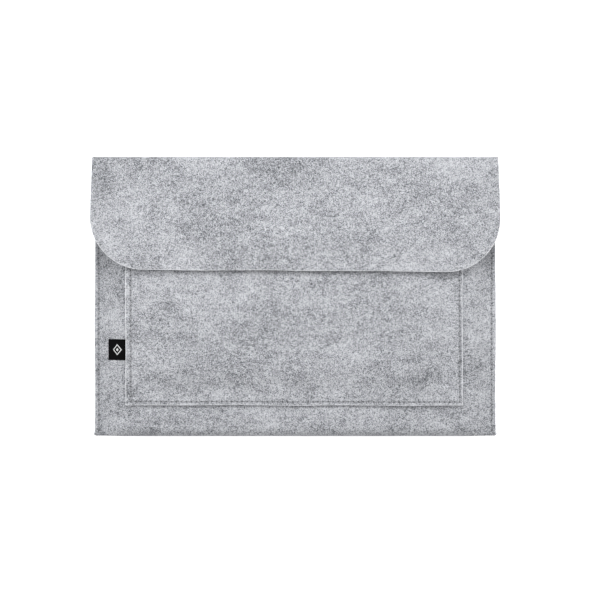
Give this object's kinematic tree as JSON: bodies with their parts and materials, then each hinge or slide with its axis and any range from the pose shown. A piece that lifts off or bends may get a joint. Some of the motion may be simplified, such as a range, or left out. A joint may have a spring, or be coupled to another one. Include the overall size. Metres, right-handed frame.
{
  "type": "laptop sleeve",
  "caption": "Grey felt laptop sleeve with a fold-over flap with round corners, a full-width front pocket, sewn side seams and a small black side label.",
  "frame": {"origin": "centre of the flat back, in the plane that the sleeve rests on", "axes": "+X along the width, +Y from the bottom fold to the top fold, +Z out of the front"},
  "size_m": [0.36, 0.249, 0.0309],
  "materials": {
    "felt": "matte",
    "thread": "matte",
    "tape": "matte",
    "label": "matte"
  },
  "bodies": {
    "sleeve": {"back_panel": "felt", "bottom_fold": "felt", "front_panel": "felt", "pocket_panel": "felt", "loop_strip": "tape", "label_sewn_end": "label", "side_seam_left_needle_thread": "thread", "side_seam_left_bobbin_thread": "thread", "side_seam_right_needle_thread": "thread", "side_seam_right_bobbin_thread": "thread", "pocket_seam_needle_thread": "thread", "pocket_seam_bobbin_thread": "thread"},
    "top_fold": {"top_fold": "felt"},
    "flap": {"flap_panel": "felt", "hook_strip": "tape"},
    "label": {"label_tab": "label"}
  },
  "joints": [
    {"name": "lower_crease", "type": "hinge", "parent": "sleeve", "child": "top_fold", "pos_m": [0, 0.123, 0.0015], "axis": [-1, 0, 0], "range_deg": [0, 90]},
    {"name": "upper_crease", "type": "hinge", "parent": "top_fold", "child": "flap", "pos_m": [0, 0.123, 0.0294], "axis": [-1, 0, 0], "range_deg": [0, 90]},
    {"name": "label_crease", "type": "hinge", "parent": "sleeve", "child": "label", "pos_m": [-0.15175, -0.0468, 0.01865], "axis": [0, 1, 0], "range_deg": [0, 80]}
  ],
  "couplings": [
    {"joint": "lower_crease", "follows": "upper_crease", "ratio": 1}
  ]
}
